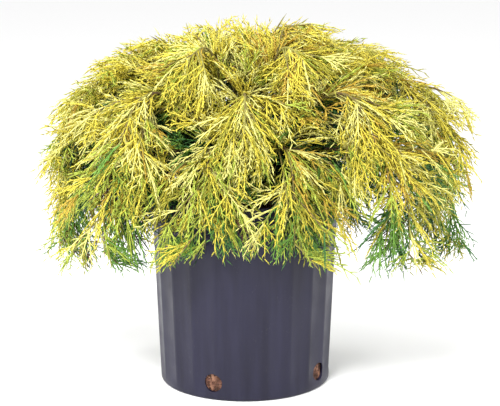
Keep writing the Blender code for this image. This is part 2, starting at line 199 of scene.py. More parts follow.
# Shoots, finer than in the solids. Places are shares of the way along the limb that carries them,
# scales go from its first shoot to its last, and plays are ranges that are drawn from.
GOLDEN_ANGLE = math.radians(137.5)
UPPER_ROLL, ROLL_SPREAD = math.radians(90), math.radians(125)
NEAR_UP = Vector((0.15, 0.1, 1.0))
TRIES, TRY_LOSS = 6, 0.06
LENGTH_PLAY = (0.8, 1.2)
STEM_RADIUS, STEM_TIP_RADIUS = 0.0022, 0.0008
TWIG_RADIUS, TWIG_TIP_RADIUS = 0.0011, 0.0007
TWIG_SIDES, TWIG_SEGMENTS = 5, 6
TWIG_LENGTH = 0.074
TWIG_ANGLE = math.radians(50)
TWIGS, TWIG_PLACES, TWIG_SCALE = 15, (0.03, 0.96), (1.15, 0.75)
TWIGS_ON_BOUGH, BOUGH_TWIG_PLACES = 5, (0.35, 0.97)
SPRAY_LENGTH = 0.056
SPRAY_ANGLE = math.radians(38)
SPRAY_PLANE_PLAY = (0.7, 2.4)
SPRAYS_ON_TWIG, TWIG_SPRAY_PLACES, TWIG_SPRAY_SCALE = 6, (0.18, 0.92), (1.10, 0.85)
SPRAYS_ON_STEM, STEM_SPRAY_PLACES = 34, (0.04, 0.98)
END_SPRAY_PLACE, END_SPRAY_ANGLE = 0.97, 0.12
THREAD_SIDES, THREAD_SEGMENTS = 3, 5
THREAD_RADIUS, THREAD_TIP_RADIUS = 0.00105, 0.00070
BRANCHLETS, DEEP_BRANCHLETS = 6, 3
BRANCHLET_RADIUS, BRANCHLET_TIP_RADIUS = 0.00080, 0.00060
BRANCHLET_ANGLE, BRANCHLET_ANGLE_PLAY = math.radians(34), (0.8, 1.25)
BRANCHLET_PLACES, BRANCHLET_PLACE_PLAY = (0.22, 0.94), (-0.03, 0.03)
BRANCHLET_SHARE, BRANCHLET_SCALE, BRANCHLET_PLAY = 0.34, (1.15, 0.50), (0.7, 1.2)
BRANCHLET_RISE_PLAY = (-0.2, 0.2)
BRANCHLET_BEND, BRANCHLET_TURN = 0.55, 0.3

# The threads of a spray: the angle at which each leaves the first, its length as a share of the
# first one's, and the place where it starts on it
FAN = ((0.0, 1.0, 0.0), (0.50, 0.80, 0.06), (-0.46, 0.72, 0.16))
DEEP_FAN = FAN[:2]
FAN_ANGLE_PLAY, FAN_LENGTH_PLAY = (0.7, 1.3), (0.8, 1.15)

# Plain colours of the foliage, dealt out by spray, with the material slot of each. The two
# commonest fill two pieces each, one for either side of the plant.
TINTS = {
    # The lemon tint is the brightest gold: partly the real young tips, partly a painted highlight
    "lemon": ((0.960, 0.900, 0.270), "foliage_gold"),
    "gold": ((0.800, 0.690, 0.080), "foliage_gold"),
    "amber": ((0.680, 0.470, 0.065), "foliage_gold"),
    "olive": ((0.430, 0.410, 0.045), "foliage_gold"),
    "dead": ((0.300, 0.160, 0.090), "foliage_gold"),
    "lime": ((0.500, 0.600, 0.080), "foliage_lime"),
    "grass": ((0.190, 0.390, 0.060), "foliage_lime"),
    "green": ((0.065, 0.200, 0.050), "foliage_green"),
    # deep: a near-black green, painted shade deep inside the crown
    "deep": ((0.020, 0.068, 0.022), "foliage_green"),
}
PAIRED = ("lemon", "gold")

# How common each tint is, from the inside of the crown out to its shade, and then on its surface
# from the hem up. Inside and in the shade the tints are darker and greener: partly the real greener
# inner shoots, and partly painted shade. The factors are for the plant's left and right.
INSIDE_SHARE, SHADE_SHARE, SHARE_PLAY = 0.60, 0.80, (-0.08, 0.08)
HEM_TOP, SIDE_TOP, HEIGHT_PLAY = 0.215, 0.285, (-0.03, 0.03)
RIGHT_FROM = 0.05
# Tints inside the crown and in its shade: darker greens as painted shade, over the real greener inner
# shoots
INSIDE_SHADE_TINTS = {"deep": 6, "green": 4, "dead": 1.2}
SHADE_TINTS = {"green": 4, "grass": 3, "olive": 3, "deep": 2.5, "dead": 0.5}
HEM_TINTS = {"lime": 4, "grass": 3, "gold": 3, "green": 1, "lemon": 1}
# On the hem's right more grass and green: painted shade, the dimmer, greener light there
HEM_SHADE_FACTORS = {"grass": (0.7, 1.6), "green": (0.7, 1.6)}
SIDE_TINTS = {"gold": 4, "lemon": 2.4, "lime": 3, "olive": 2, "grass": 1, "amber": 0.6}
# On the top the lemon tint is commonest: a painted highlight where the light falls
TOP_TINTS = {"lemon": 4, "gold": 5, "olive": 1.6, "amber": 1, "lime": 1}
TOP_FACTORS = {"amber": (0.6, 1.5)}

# Colours of the other materials. Tones are pairs of a place along a noise and a colour.
PLASTIC = (0.018, 0.019, 0.028)
PLASTIC_TONES = ((0.35, (0.009, 0.008, 0.022)), (0.70, (0.018, 0.017, 0.040)))
DUST = (0.30, 0.29, 0.27)
MIX = (0.10, 0.045, 0.025)
MIX_TONES = (
    (0.30, (0.018, 0.009, 0.006)), (0.55, (0.085, 0.036, 0.020)), (0.75, (0.190, 0.085, 0.045)),
)
CHIP = (0.14, 0.06, 0.035)
CHIP_TONES = (
    (0.30, (0.040, 0.018, 0.012)), (0.50, (0.125, 0.050, 0.030)), (0.68, (0.300, 0.150, 0.090)),
)
BARK = (0.13, 0.062, 0.038)
BARK_TONES = (
    (0.32, (0.050, 0.022, 0.014)), (0.52, (0.150, 0.072, 0.044)), (0.72, (0.290, 0.190, 0.135)),
)
TWIG = (0.16, 0.12, 0.035)
TWIG_TONES = ((0.38, (0.120, 0.075, 0.030)), (0.58, (0.270, 0.250, 0.045)))

# The foliage's mottle: pairs of a place along a noise and a factor of the colour
MOTTLE = ((0.36, 0.66), (0.50, 1.0), (0.64, 1.22))

# Studio: the lights are place, point looked at, size and power
FLOOR_SIZE = 14.0
FLOOR_COLOUR = (0.93, 0.93, 0.93)
WORLD_COLOUR = (1.0, 1.0, 1.0)
WORLD_STRENGTH = 1.0
LIGHTS = {
    "key": ((-0.7, -2.0, 2.4), (0.0, 0.0, 0.3), 0.8, 95),
    "right_side": ((2.2, -0.2, 1.0), (0.0, 0.0, 0.2), 1.2, 26),
    "left_side": ((-2.2, 0.0, 0.9), (0.0, 0.0, 0.2), 1.2, 26),
}

# Photograph
IMAGE_WIDTH = 500
CAMERA_PLACE = (0.0, -1.75, 0.577)
CAMERA_PITCH, CAMERA_YAW = 0.2024, -0.0035
CAMERA_NEAR, CAMERA_FAR = 0.05, 60.0
FOCAL_PIXELS = 1469
SENSOR = 36.0

# A bough has the points of its own line and those of its mass's stem. A mass has the limb whose
# end carries it, or none where it starts on the trunk's side.
Bough = namedtuple("Bough", "name line radius tip_radius stem droop")
MassPlan = namedtuple("MassPlan", "name limb stem droop")


def blend(first, last, share):
    return first + (last - first) * share


def spaced(count, first, last):
    """A number of values, evenly from the first to the last."""
    return [blend(first, last, i / (count - 1)) for i in range(count)]


def smooth(value):
    value = min(1.0, max(0.0, value))
    return value * value * (3 - 2 * value)


def polar(radius, angle, height):
    return Vector((radius * math.cos(angle), radius * math.sin(angle), height))


def bezier(start, bend, end, segments):
    """Points along the arc from start to end that leans towards bend."""
    shares = [i / segments for i in range(segments + 1)]
    return [blend(blend(start, bend, t), blend(bend, end, t), t) for t in shares]


def at_share(points, share):
    """The point and the direction at a share of the way along a line of points."""
    place = share * (len(points) - 1)
    i = min(int(place), len(points) - 2)
    step = points[i + 1] - points[i]
    return points[i] + step * (place - i), step.normalized()


# Meshes

def array_mesh(name, vertices, polygons):
    """A mesh from an array of vertices and arrays of polygons, one for each number of corners."""
    mesh = bpy.data.meshes.new(name)
    mesh.vertices.add(len(vertices))
    mesh.vertices.foreach_set("co", vertices.astype(np.float32).ravel())
    corners = np.concatenate([part.ravel() for part in polygons])
    sizes = np.concatenate([np.full(len(part), part.shape[1]) for part in polygons])
    starts = np.concatenate([[0], np.cumsum(sizes)[:-1]])
    mesh.loops.add(len(corners))
    mesh.loops.foreach_set("vertex_index", corners.astype(np.int32))
    mesh.polygons.add(len(sizes))
    mesh.polygons.foreach_set("loop_start", starts.astype(np.int32))
    mesh.update(calc_edges=True)
    mesh.validate()
    return mesh


def joined(meshes, name):
    build = bmesh.new()
    for mesh in meshes:
        build.from_mesh(mesh)
        bpy.data.meshes.remove(mesh)
    mesh = bpy.data.meshes.new(name)
    build.to_mesh(mesh)
    build.free()
    return mesh


def link_object(name, data):
    ob = bpy.data.objects.new(name, data)
    bpy.context.scene.collection.objects.link(ob)
    return ob


def place_piece(name, mesh, material, replaced=(), sharp_degrees=None):
    """A piece of the plant: linked, shaded, riding on the part and standing for its nodes."""
    mesh.materials.append(material)
    mesh.shade_smooth()
    if sharp_degrees:
        mesh.set_sharp_from_angle(angle=math.radians(sharp_degrees))
    piece = link_object(name, mesh)
    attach(piece, "root")
    if replaced:
        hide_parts(*replaced)


def ring_quads(count, sides):
    """The quads that join a number of rings, each to the next."""
    level, here = np.meshgrid(np.arange(count - 1), np.arange(sides), indexing="ij")
    there = (here + 1) % sides
    low = level * sides
    quads = np.stack([low + here, low + there, low + sides + there, low + sides + here], axis=-1)
    return quads.reshape(-1, 4)


def ring_mesh(name, rings):
    """A closed mesh from rings of points. Each end is closed with a point in its middle."""
    rings = np.array(rings)
    count, sides = rings.shape[:2]
    vertices = np.concatenate([rings.reshape(-1, 3), [rings[0].mean(0), rings[-1].mean(0)]])
    here = np.arange(sides)
    there = np.roll(here, -1)
    top = (count - 1) * sides
    low_middle, top_middle = np.full(sides, count * sides), np.full(sides, count * sides + 1)
    low_fan = np.stack([there, here, low_middle], axis=1)
    top_fan = np.stack([top + here, top + there, top_middle], axis=1)
    return array_mesh(name, vertices, [ring_quads(count, sides), np.concatenate([low_fan, top_fan])])


class Strands:
    """Tapering threads with a few sides, gathered as points and written out as one mesh."""

    # A thread at least this upright, as a share of its length, has a reference of its own
    UPRIGHT = 0.8
    UPRIGHT_REFERENCE = (1.0, 0.2, 0.0)
    LEVEL_REFERENCE = (0.1, 0.2, 1.0)

    def __init__(self, sides):
        self.sides = sides
        self.lines = {}

    def add(self, points, radius, tip_radius):
        self.lines.setdefault(len(points), []).append((points, radius, tip_radius))

    def mesh(self, name):
        vertices, quads, triangles = [], [], []
        start = 0
        for count, lines in sorted(self.lines.items()):
            block = self.vertices_of(count, lines)
            per_line = block.shape[1]
            offsets = start + per_line * np.arange(len(lines))[:, None, None]
            line_quads, line_triangles = self.faces_of(count)
            quads.append((offsets + line_quads).reshape(-1, 4))
            triangles.append((offsets + line_triangles).reshape(-1, 3))
            vertices.append(block.reshape(-1, 3))
            start += per_line * len(lines)
        polygons = [np.concatenate(quads), np.concatenate(triangles)]
        return array_mesh(name, np.concatenate(vertices), polygons)

    def vertices_of(self, count, lines):
        """Rings round all the points but the last, which is the thread's own tip."""
        points = np.array([[tuple(point) for point in line] for line, _, _ in lines])
        first = np.array([radius for _, radius, _ in lines])[:, None]
        last = np.array([radius for _, _, radius in lines])[:, None]
        radii = first + (last - first) * np.arange(count - 1) / max(1, count - 2)
        way = np.gradient(points, axis=1)
        way /= np.linalg.norm(way, axis=2, keepdims=True)
        chord = points[:, -1] - points[:, 0]
        upright = np.abs(chord[:, 2]) > self.UPRIGHT * np.linalg.norm(chord, axis=1)
        reference = np.where(upright[:, None], self.UPRIGHT_REFERENCE, self.LEVEL_REFERENCE)
        side = np.cross(way, reference[:, None, :])
        side /= np.linalg.norm(side, axis=2, keepdims=True)
        up = np.cross(side, way)
        turns = (math.tau * np.arange(self.sides) / self.sides)[:, None]
        around = side[:, :-1, None] * np.cos(turns) + up[:, :-1, None] * np.sin(turns)
        rings = points[:, :-1, None] + radii[:, :, None, None] * around
        return np.concatenate([rings.reshape(len(lines), -1, 3), points[:, -1:]], axis=1)

    def faces_of(self, count):
        """The quads along a thread and the triangles that close its two ends."""
        here = np.arange(self.sides)
        there = (here + 1) % self.sides
        last = (count - 2) * self.sides
        tip = np.full(self.sides, last + self.sides)
        tips = np.stack([last + here, last + there, tip], axis=1)
        caps = np.stack([np.zeros_like(here[2:]), here[2:], here[1:-1]], axis=1)
        return ring_quads(count - 1, self.sides), np.concatenate([tips, caps])


# Materials

class Shader:
    """A node material that is built up from a Principled shader in object coordinates."""

    def __init__(self, name, colour, roughness):
        self.material = bpy.data.materials.new(name)
        self.material.use_nodes = True
        self.nodes = self.material.node_tree.nodes
        self.links = self.material.node_tree.links
        self.shader = self.nodes["Principled BSDF"]
        self.shader.inputs["Base Color"].default_value = (*colour, 1.0)
        self.shader.inputs["Roughness"].default_value = roughness
        self.place = self.nodes.new("ShaderNodeTexCoord").outputs["Object"]

    def stretched(self, scale):
        mapping = self.nodes.new("ShaderNodeMapping")
        mapping.inputs["Scale"].default_value = scale
        self.links.new(self.place, mapping.inputs["Vector"])
        return mapping.outputs["Vector"]

    def noise(self, scale, detail=3.0, vector=None):
        node = self.nodes.new("ShaderNodeTexNoise")
        node.inputs["Scale"].default_value = scale
        node.inputs["Detail"].default_value = detail
        self.links.new(vector or self.place, node.inputs["Vector"])
        return node.outputs["Fac"]

    def cells(self, scale):
        """The distance from the middle of each cell."""
        node = self.nodes.new("ShaderNodeTexVoronoi")
        node.inputs["Scale"].default_value = scale
        self.links.new(self.place, node.inputs["Vector"])
        return node.outputs["Distance"]

    def ramp(self, value, tones):
        """Colours along a value: pairs of a place from 0 to 1 and a colour."""
        node = self.nodes.new("ShaderNodeValToRGB")
        elements = node.color_ramp.elements
        while len(elements) < len(tones):
            elements.new(0.5)
        for element, (position, colour) in zip(elements, tones):
            element.position = position
            element.color = (*colour, 1.0)
        self.links.new(value, node.inputs["Fac"])
        return node.outputs["Color"]

    def spread(self, value, low, high, first, last):
        """The value's range from low to high, spread from first to last."""
        node = self.nodes.new("ShaderNodeMapRange")
        ends = {"From Min": low, "From Max": high, "To Min": first, "To Max": last}
        for key, number in ends.items():
            node.inputs[key].default_value = number
        self.links.new(value, node.inputs["Value"])
        return node.outputs["Result"]

    def product(self, first, second):
        node = self.nodes.new("ShaderNodeMath")
        node.operation = "MULTIPLY"
        self.links.new(first, node.inputs[0])
        self.links.new(second, node.inputs[1])
        return node.outputs[0]

    def mix(self, factor, under, colour):
        """A plain colour mixed over another node's colour."""
        node = self.nodes.new("ShaderNodeMix")
        node.data_type = "RGBA"
        colours = {socket.name: socket for socket in node.inputs if socket.type == "RGBA"}
        self.links.new(factor, node.inputs["Factor"])
        self.links.new(under, colours["A"])
        colours["B"].default_value = (*colour, 1.0)
        return next(socket for socket in node.outputs if socket.type == "RGBA")

    def bump(self, height, distance):
        node = self.nodes.new("ShaderNodeBump")
        node.inputs["Distance"].default_value = distance
        self.links.new(height, node.inputs["Height"])
        self.links.new(node.outputs["Normal"], self.shader.inputs["Normal"])

    def feed(self, socket, value):
        self.links.new(value, self.shader.inputs[socket])


def pot_material():
    """Satin black plastic with faint streaks, dust specks and patchy gloss."""
    paint = Shader("pot_plastic", PLASTIC, roughness=0.38)
    streaks = paint.noise(scale=1.0, detail=4.0, vector=paint.stretched((60.0, 60.0, 5.0)))
    specks = paint.spread(paint.cells(scale=520.0), low=0.05, high=0.09, first=1.0, last=0.0)
    patches = paint.spread(paint.noise(scale=22.0), low=0.56, high=0.66, first=0.0, last=1.0)
    dust = paint.product(specks, patches)
    paint.feed("Base Color", paint.mix(dust, paint.ramp(streaks, PLASTIC_TONES), DUST))
    wear = paint.noise(scale=38.0, detail=5.0)
    paint.feed("Roughness", paint.spread(wear, low=0.3, high=0.7, first=0.34, last=0.50))
    paint.shader.inputs["Specular IOR Level"].default_value = 0.3
    paint.bump(paint.noise(scale=420.0, detail=2.0), distance=0.00012)
    return paint.material


def mix_material():
    paint = Shader("bark_mix", MIX, roughness=0.95)
    paint.feed("Base Color", paint.ramp(paint.noise(scale=240.0, detail=4.0), MIX_TONES))
    paint.bump(paint.noise(scale=300.0, detail=4.0), distance=0.0020)
    return paint.material


def chip_material():
    """Shredded bark: reddish brown, with a fine grain."""
    paint = Shader("bark_chips", CHIP, roughness=0.85)
    paint.feed("Base Color", paint.ramp(paint.noise(scale=95.0, detail=2.0), CHIP_TONES))
    grain = paint.noise(scale=1.0, detail=4.0, vector=paint.stretched((300.0, 900.0, 600.0)))
    paint.bump(grain, distance=0.0008)
    return paint.material


def bark_material():
    """Stringy reddish-brown bark with greyer flakes."""
    paint = Shader("cypress_bark", BARK, roughness=0.85)
    strings = paint.noise(scale=1.0, detail=5.0, vector=paint.stretched((420.0, 420.0, 60.0)))
    paint.feed("Base Color", paint.ramp(strings, BARK_TONES))
    paint.bump(strings, distance=0.0014)
    return paint.material


def twig_material():
    """Young bark that is still partly green."""
    paint = Shader("green_twigs", TWIG, roughness=0.7)
    paint.feed("Base Color", paint.ramp(paint.noise(scale=70.0, detail=2.0), TWIG_TONES))
    paint.bump(paint.noise(scale=900.0, detail=2.0), distance=0.0004)
    return paint.material


def foliage_material(name, colour):
    """Scale-like leaves pressed to the shoots: a plain colour with a fine mottle and bump."""
    paint = Shader(f"foliage_{name}", colour, roughness=0.55)
    tones = [(place, tuple(min(1.0, factor * part) for part in colour)) for place, factor in MOTTLE]
    paint.feed("Base Color", paint.ramp(paint.noise(scale=700.0, detail=2.0), tones))
    paint.bump(paint.cells(scale=1300.0), distance=0.0005)
    paint.shader.inputs["Specular IOR Level"].default_value = 0.35
    return paint.material


# Pot

def wall_radius(height):
    """Outer radius of the tapering wall."""
    return blend(WALL_FOOT_RADIUS, WALL_TOP_RADIUS, (height - WALL_FOOT) / (BAND_FOOT - WALL_FOOT))


def arc(middle, radius, first_degrees, last_degrees, steps):
    """Points of a profile round a middle, which are pairs of radius and height."""
    angles = np.radians(np.linspace(first_degrees, last_degrees, steps))
    return [(middle[0] + radius * math.cos(a), middle[1] + radius * math.sin(a)) for a in angles]


def wall_levels():
    """Heights down the wall, close together where the flutes end in their arches."""
    arches = np.linspace(BAND_FOOT - ARCH_MARGIN, FLUTE_TOP - 2 * FLUTE_ARCH, ARCH_LEVELS)
    return list(arches) + list(np.linspace(arches[-1], WALL_FOOT, WALL_LEVELS)[1:])


def inner_profile(levels, band_radius):
    """From the floor's corner up the wall to just below the rim."""
    corner = (FOOT_RADIUS - WALL - INNER_ROUND, FLOOR + INNER_ROUND)
    heights = [z for z in levels[::LEVELS_PER_INNER_LEVEL] if z > FLOOR + 1.5 * INNER_ROUND]
    wall = [(wall_radius(z) - WALL, z) for z in reversed(heights)]
    band = [(band_radius, BAND_FOOT + INNER_BAND_RISE), (band_radius, POT_HEIGHT - LIP_ROUND)]
    return arc(corner, INNER_ROUND, -90, 0, 5) + wall + band


def outer_profile(levels, inner_band_radius):
    """Over the rounded lip, down past the groove and the band, and round the foot."""
    lip_top, lip_foot = POT_HEIGHT - LIP_ROUND, POT_HEIGHT - LIP_HEIGHT + LIP_ROUND
    points = arc((inner_band_radius + LIP_ROUND, lip_top), LIP_ROUND, 165, 90, 5)
    points += arc((RIM_RADIUS - LIP_ROUND, lip_top), LIP_ROUND, 90, 0, 6)
    points += arc((RIM_RADIUS - LIP_ROUND, lip_foot), LIP_ROUND, 0, -75, 5)
    points += [(BAND_RADIUS, POT_HEIGHT - LIP_HEIGHT - LIP_UNDERCUT)]
    points += arc((BAND_RADIUS + GROOVE_OUT, GROOVE_HEIGHT), GROOVE_DEPTH, 95, 265, 7)
    points += arc((BAND_RADIUS - BAND_ROUND, BAND_FOOT + BAND_ROUND), BAND_ROUND, 0, -90, 5)
    points += [(wall_radius(z), z) for z in levels]
    points += arc((FOOT_RADIUS - FOOT_TUCK, FOOT_ROUND), FOOT_ROUND, -20, -90, 6)
    return points


def flute_depth(turn, height):
    """Depth of the hollow at a share of the way from ridge to ridge. Its top is an arch."""
    hollow = 1 - (2 * turn - 1) ** 2
    top = smooth((FLUTE_TOP - FLUTE_ARCH * (1 - hollow) - height) / FLUTE_LEDGE)
    foot = smooth((height - WALL_FOOT) / (FLUTE_FOOT - WALL_FOOT))
    return FLUTE_DEPTH * hollow * top * foot


def make_pot():
    levels = wall_levels()
    inner_band_radius = BAND_RADIUS - WALL
    profile = inner_profile(levels, inner_band_radius) + outer_profile(levels, inner_band_radius)
    steps = FLUTES * FLUTE_STEPS
    angles = FIRST_RIDGE + math.tau * np.arange(steps) / steps
    turns = np.arange(FLUTE_STEPS) / FLUTE_STEPS
    rings = []
    for radius, height in profile:
        depth = np.array([flute_depth(turn, height) for turn in turns])
        reach = radius - np.tile(depth, FLUTES)
        level = np.full(steps, height)
        rings.append(np.column_stack([reach * np.cos(angles), reach * np.sin(angles), level]))
    mesh = ring_mesh("pot_shell", rings)
    bore_holes(mesh)
    place_piece("pot_shell", mesh, pot_material(), ("pot",), POT_SHARP_DEGREES)


def hole_cutter():
    """A cylinder across the wall at each drain hole, as one object."""
    build = bmesh.new()
    for turn in HOLE_TURNS:
        angle = FIRST_HOLE + turn
        place = Matrix.Translation(polar(wall_radius(HOLE_HEIGHT) - WALL, angle, HOLE_HEIGHT))
        lie = Matrix.Rotation(angle, 4, "Z") @ Matrix.Rotation(math.pi / 2, 4, "Y")
        bmesh.ops.create_cone(
            build, cap_ends=True, segments=HOLE_SEGMENTS, radius1=HOLE_RADIUS, radius2=HOLE_RADIUS,
            depth=8 * WALL, matrix=place @ lie,
        )
    mesh = bpy.data.meshes.new("drain_cutter")
    build.to_mesh(mesh)
    build.free()
    return link_object("drain_cutter", mesh)


def bore_holes(mesh):
    """Cuts the drain holes through the foot of the wall."""
    cutter = hole_cutter()
    shell = link_object("uncut_shell", mesh)
    modifier = shell.modifiers.new("Holes", "BOOLEAN")
    modifier.operation = "DIFFERENCE"
    modifier.object = cutter
    modifier.solver = "EXACT"
    bpy.context.view_layer.update()
    graph = bpy.context.evaluated_depsgraph_get()
    cut = bmesh.new()
    cut.from_mesh(shell.evaluated_get(graph).to_mesh())
    cut.to_mesh(mesh)
    cut.free()
    cutter_mesh = cutter.data
    for ob in (cutter, shell):
        bpy.data.objects.remove(ob, do_unlink=True)
    bpy.data.meshes.remove(cutter_mesh)


# Potting mix and bark chips

def dress_mix(mix):
    """The solid mix stays, with a material of its own."""
    mix.data.materials.clear()
    mix.data.materials.append(mix_material())


def mix_height(radius):
    share = max(0.0, radius - MIX_FLAT_RADIUS) / (CHIP_REACH - MIX_FLAT_RADIUS)
    return blend(MIX_TOP, MIX_EDGE_HEIGHT, share**2)


def chip_vertices(draw, middle, lie):
    """An irregular flat flake: two jagged outlines, one above the other."""
    length = draw.uniform(*CHIP_LENGTH)
    width = draw.uniform(*CHIP_WIDTH)
    thick = draw.uniform(*CHIP_THICKNESS)
    jags = [draw.uniform(*CHIP_JAG) for _ in range(CHIP_SIDES)]
    vertices = []
    for level in (-0.5, 0.5):
        taper = 1 - CHIP_TAPER * (level + 0.5)
        for i, jag in enumerate(jags):
            angle = math.tau * i / CHIP_SIDES
            flake = Vector((
                jag * length / 2 * math.cos(angle) * taper,
                jag * width / 2 * math.sin(angle),
                thick * (level + draw.uniform(-CHIP_UNEVENNESS, CHIP_UNEVENNESS)),
            ))
            vertices.append(middle + lie @ flake)
    return vertices


def chips_on_mix(draw):
    vertices = []
    for _ in range(CHIPS):
        radius = CHIP_REACH * math.sqrt(draw.random())
        angle = draw.uniform(0, math.tau)
        height = mix_height(radius) + draw.uniform(*CHIP_LIFT)
        turn = Matrix.Rotation(draw.uniform(0, math.tau), 3, "Z")
        roll = Matrix.Rotation(draw.gauss(0, CHIP_ROLL_SPREAD), 3, "X")
        pitch = Matrix.Rotation(draw.gauss(0, CHIP_PITCH_SPREAD), 3, "Y")
        if radius > CHIP_CLEARANCE:
            vertices += chip_vertices(draw, polar(radius, angle, height), turn @ roll @ pitch)
    return vertices


def chips_in_holes(draw):
    """Chips that stand against the wall behind each drain hole."""
    vertices = []
    for hole_turn in HOLE_TURNS:
        for _ in range(CHIPS_IN_HOLE):
            angle = FIRST_HOLE + hole_turn + draw.uniform(-HOLE_CHIP_TURN, HOLE_CHIP_TURN)
            height = HOLE_HEIGHT + draw.uniform(-HOLE_RADIUS, HOLE_RADIUS)
            upright = Matrix.Rotation(angle, 3, "Z") @ Matrix.Rotation(math.pi / 2, 3, "Y")
            turn = Matrix.Rotation(draw.uniform(0, math.tau), 3, "Z")
            tilt = Matrix.Rotation(draw.gauss(0, HOLE_CHIP_SPREAD), 3, "X")
            lie = upright @ turn @ tilt * HOLE_CHIP_SCALE
            vertices += chip_vertices(draw, polar(HOLE_CHIP_RADIUS, angle, height), lie)
    return vertices


def make_chips():
    draw = random.Random(SEED)
    vertices = chips_on_mix(draw) + chips_in_holes(draw)
    per_chip = 2 * CHIP_SIDES
    here = np.arange(CHIP_SIDES)
    there = (here + 1) % CHIP_SIDES
    walls = np.stack([here, there, there + CHIP_SIDES, here + CHIP_SIDES], axis=1)
    ends = np.stack([here[::-1], here + CHIP_SIDES])
    offsets = per_chip * np.arange(len(vertices) // per_chip)[:, None, None]
    polygons = [(offsets + walls).reshape(-1, 4), (offsets + ends).reshape(-1, CHIP_SIDES)]
    mesh = array_mesh("bark_chips", np.array([tuple(v) for v in vertices]), polygons)
    place_piece("bark_chips", mesh, chip_material(), (), CHIP_SHARP_DEGREES)


# Trunk and boughs, by the rule of the solids

def trunk_axis(share):
    """A point on the trunk's axis. It rises straight from the mix and then leans."""
    return Vector((0, 0, blend(TRUNK_FOOT, TRUNK_TOP, share))) + TRUNK_LEAN * share**2


def trunk_at(height):
    return trunk_axis((height - TRUNK_FOOT) / (TRUNK_TOP - TRUNK_FOOT))


def crown_radius(angle):
    """The crown's half width towards an angle."""
    across = CROWN_RIGHT if math.cos(angle) > 0 else CROWN_LEFT
    deep = CROWN_BACK if math.sin(angle) > 0 else CROWN_FRONT
    return 1 / math.hypot(math.cos(angle) / across, math.sin(angle) / deep)


def hem_height(angle):
    """How low the crown hangs towards an angle."""
    end = HEM_BACK if math.sin(angle) > 0 else HEM_FRONT
    return blend(HEM_SIDE, end, math.sin(angle) ** 2)


def crown_share(point):
    """How far out a point is in the crown: 0 on its axis at mid height, 1 on its surface."""
    out = math.hypot(point.x, point.y) / crown_radius(math.atan2(point.y, point.x))
    up = max(0.0, point.z - CROWN_MIDDLE) / (CROWN_TOP - CROWN_MIDDLE)
    return math.hypot(out, up)


def crown_place(share_and_height, angle):
    share, height = share_and_height
    return polar(share * crown_radius(angle), angle, height)


def stem_from(limb, bend, tip):
    """A mass's stem goes straight on from the end of its limb and then arches."""
    way = (limb[-1] - limb[-2]).normalized()
    start = limb[-1] + way * GAP
    return [start] + bezier(start + way * STEM_LEAD, bend, tip, STEM_SEGMENTS)


def tier_boughs(name, tier):
    boughs = []
    for i in range(tier["count"]):
        angle = math.tau * (i + tier["turn"]) / tier["count"]
        rank = i * STAGGER % tier["count"] / (tier["count"] - 1)
        start = trunk_at(blend(tier["low"], tier["high"], rank))
        tip = crown_place(tier["bough_tip"], angle)
        bend = blend(start, tip, 0.5) + Vector((0, 0, BOUGH_RISE))
        line = bezier(start, bend, tip, STEM_SEGMENTS)
        stem_tip = crown_place(tier["stem_tip"], angle)
        stem_tip.z += hem_height(angle) - HEM_SIDE
        stem = stem_from(line, crown_place(tier["stem_bend"], angle), stem_tip)
        boughs.append(Bough(f"{name}_{i + 1}", line, tier["base"], tier["tip"], stem, tier["droop"]))
    return boughs


def plan_masses(trunk, boughs):
    """A mass for each bough, one for the trunk's leader and a few inside the crown."""
    plans = [MassPlan(f"mass_{bough.name}", bough.line, bough.stem, bough.droop) for bough in boughs]
    leader = stem_from(trunk, LEADER_BEND, LEADER_TIP)
    plans.append(MassPlan("mass_leader", trunk[-LEADER_LIMB_POINTS:], leader, TOP_DROOP))
    for i, height in enumerate(spaced(INNER_COUNT, INNER_LOW, INNER_HIGH)):
        angle = math.tau * (i + INNER_TURN) / INNER_COUNT
        bend, tip = crown_place(INNER_BEND, angle), crown_place(INNER_TIP, angle)
        stem = bezier(trunk_at(height), bend, tip, STEM_SEGMENTS)
        plans.append(MassPlan(f"mass_inner_{i + 1}", None, stem, DROOP))
    return plans


def bark_reach(turn, distance, place):
    """A limb's radius with its bark, as a share: stringy, and another at each place."""
    grain = Vector((GRAIN_ROUND * math.cos(turn), GRAIN_ROUND * math.sin(turn), GRAIN_ALONG * distance))
    grain += place * GRAIN_APART
    relief = noise.noise(grain) + FINE_RELIEF * noise.noise(grain * FINE_GRAIN)
    return 1 + BARK_RELIEF * relief


def bark_rings(points, radius, tip_radius, sides, foot=False):
    """Rings along a limb, with stringy relief. A trunk also flares into roots at its foot."""
    length = sum((b - a).length for a, b in zip(points, points[1:]))
    count = max(BARK_LEAST_RINGS, int(length / BARK_STEP))
    rings = []
    for share in (k / count for k in range(count + 1)):
        middle, way = at_share(points, share)
        side = way.cross(NEAR_BACK).normalized()
        up = side.cross(way)
        thick = blend(radius, tip_radius, share)
        ring = []
        for turn in (math.tau * i / sides for i in range(sides)):
            out = side * math.cos(turn) + up * math.sin(turn)
            reach = thick * bark_reach(turn, share * length, points[-1])
            if foot:
                lobe = 1 - ROOT_LOBE + ROOT_LOBE * math.cos(FLARE_ROOTS * math.atan2(out.y, out.x))
                reach *= 1 + FLARE * lobe * math.exp((TRUNK_FOOT - middle.z) / FLARE_HEIGHT)
            ring.append(tuple(middle + out * reach))
        rings.append(ring)
    if foot:
        rings[0] = [(x, y, TRUNK_FOOT) for x, y, _ in rings[0]]
    return rings


